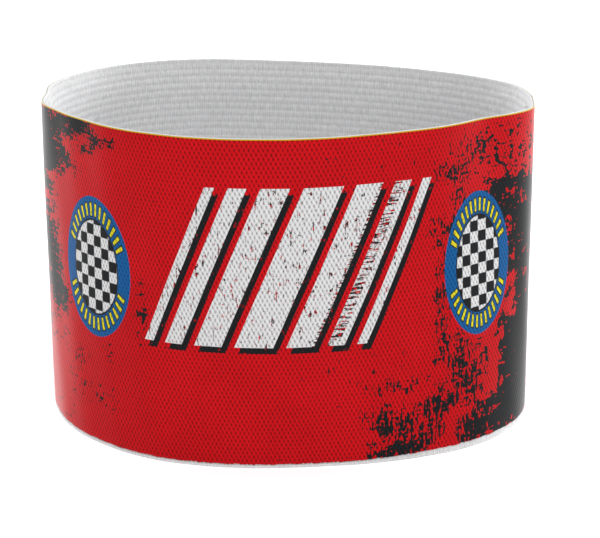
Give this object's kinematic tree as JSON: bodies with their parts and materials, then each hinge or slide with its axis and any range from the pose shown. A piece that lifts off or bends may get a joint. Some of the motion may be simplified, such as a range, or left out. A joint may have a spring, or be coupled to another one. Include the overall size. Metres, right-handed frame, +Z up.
{
  "type": "captain armband",
  "caption": "Soft oval loop of ribbed white elastic webbing with a printed red outer face, worn round an upper arm over the sleeve.",
  "frame": {"origin": "on the surface that the armband stands on, under the middle of the loop's bounding box", "axes": "+Z up along the loop's axis from foot to rim, +X to the right-hand bend where the ends are joined, -Y to the front of the print"},
  "size_m": [0.1068, 0.0846, 0.07],
  "materials": {
    "white_elastic": "matte woven elastic with lengthwise ribs",
    "red_print": "matte printed textured weave"
  },
  "bodies": {
    "root": {"elastic_band": "white_elastic", "printed_face": "red_print"}
  },
  "joints": []
}
